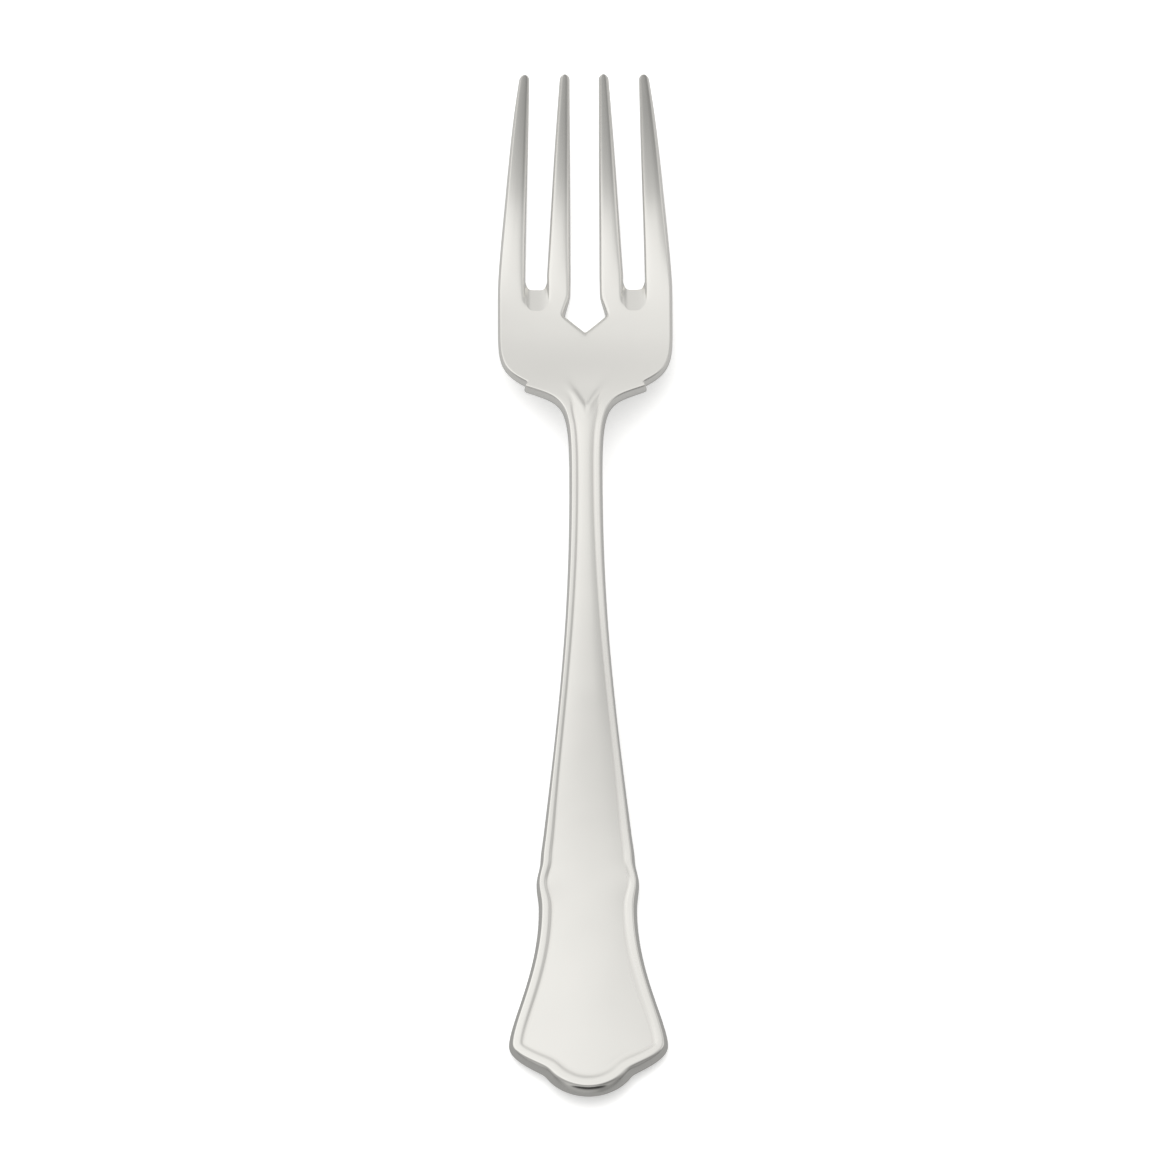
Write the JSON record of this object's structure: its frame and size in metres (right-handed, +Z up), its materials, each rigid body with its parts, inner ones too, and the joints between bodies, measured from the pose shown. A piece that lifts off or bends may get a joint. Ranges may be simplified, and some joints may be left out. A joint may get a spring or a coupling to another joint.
{
  "type": "fish fork",
  "caption": "Table fork for fish with a broad shallow bowl, short tines, a slim arched neck and a flared handle with a thread border and a lobed end.",
  "frame": {"origin": "on the table plane, under the middle of the fork's length and width", "axes": "+Y runs from the handle end to the tine tips, +X to the right seen from above with the tips away, +Z up out of the hollow of the bowl"},
  "size_m": [0.0284, 0.18, 0.0114],
  "materials": {
    "silver": "polished silver with fine wear marks"
  },
  "bodies": {
    "root": {"handle": "silver", "neck": "silver", "bowl": "silver", "tine_outer_left": "silver", "tine_inner_left": "silver", "tine_inner_right": "silver", "tine_outer_right": "silver"}
  },
  "joints": []
}
